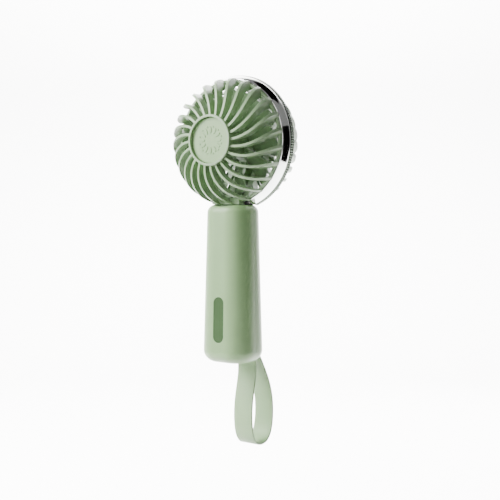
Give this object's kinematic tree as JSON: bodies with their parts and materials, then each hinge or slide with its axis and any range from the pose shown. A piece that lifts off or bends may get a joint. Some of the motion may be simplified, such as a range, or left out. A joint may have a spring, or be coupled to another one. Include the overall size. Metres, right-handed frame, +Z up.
{
  "type": "handheld electric fan",
  "caption": "Handheld electric fan with a finned round cage, bright C-shaped trim ring, tapered grip, thumb button and wrist strap loop.",
  "frame": {"origin": "on the grip's axis, half way up the grip", "axes": "+Z up along the grip to the fan head, -Y the way the air is blown, +X to the right as the fan's face is seen"},
  "size_m": [0.0926, 0.0676, 0.2602],
  "materials": {
    "mint_shell": "fine satin moulding",
    "pill_green": "satin film",
    "bright_trim": "mirror plated",
    "dark_ends": "satin",
    "impeller_plastic": "satin",
    "steel": "bright zinc",
    "rotor_iron": "stacked sheet",
    "magnet_ferrite": "sintered",
    "bronze": "sintered",
    "black_plastic": "satin",
    "switch_button": "gloss",
    "board_green": "solder mask",
    "ceramic": "fired",
    "lamp": "moulded",
    "cell_wrap": "shrunk film",
    "nickel": "plated strip",
    "lead_red": "extruded",
    "lead_black": "extruded",
    "mint_strap": "satin"
  },
  "bodies": {
    "body": {"front_shell": "mint_shell", "rear_shell": "mint_shell", "front_grille": "mint_shell", "rear_grille": "mint_shell", "hub_cap": "mint_shell", "rear_hub_cover": "mint_shell", "pill_inlay": "pill_green", "trim_ring": "bright_trim", "ring_end_left": "dark_ends", "ring_end_right": "dark_ends", "motor_can": "steel", "motor_screws": "steel", "neck_screws": "steel", "shell_screws": "steel", "board_screws": "steel", "strap_bar": "steel", "usb_c_shell": "steel", "motor_magnets": "magnet_ferrite", "motor_bush_front": "bronze", "motor_bush_rear": "bronze", "motor_end_cap": "black_plastic", "usb_c_tongue": "black_plastic", "tact_switch": "black_plastic", "charge_chip": "black_plastic", "motor_driver_chip": "black_plastic", "inductor": "black_plastic", "main_board": "board_green", "capacitors": "ceramic", "leds": "lamp", "light_pipes": "lamp", "cell": "cell_wrap", "cell_tabs": "nickel", "cell_lead_positive": "lead_red", "motor_lead_positive": "lead_red", "cell_lead_negative": "lead_black", "motor_lead_negative": "lead_black"},
    "impeller_set": {"impeller": "impeller_plastic", "impeller_nut": "steel", "motor_shaft": "steel", "motor_rotor": "rotor_iron"},
    "button": {"power_button": "mint_shell", "switch_plunger": "switch_button"},
    "strap": {"strap": "mint_strap"}
  },
  "joints": [
    {"name": "impeller_spin", "type": "hinge", "parent": "body", "child": "impeller_set", "pos_m": [0, 0.0018, 0.0965], "axis": [0, -1, 0], "continuous": true},
    {"name": "button_press", "type": "slide", "parent": "body", "child": "button", "axis": [0, -1, 0], "range_m": [0, 0.0005], "stiffness_N_per_m": 2000},
    {"name": "strap_swing", "type": "hinge", "parent": "body", "child": "strap", "pos_m": [0, 0.0162, -0.0484], "axis": [1, 0, 0], "range_deg": [-20, 95]}
  ]
}
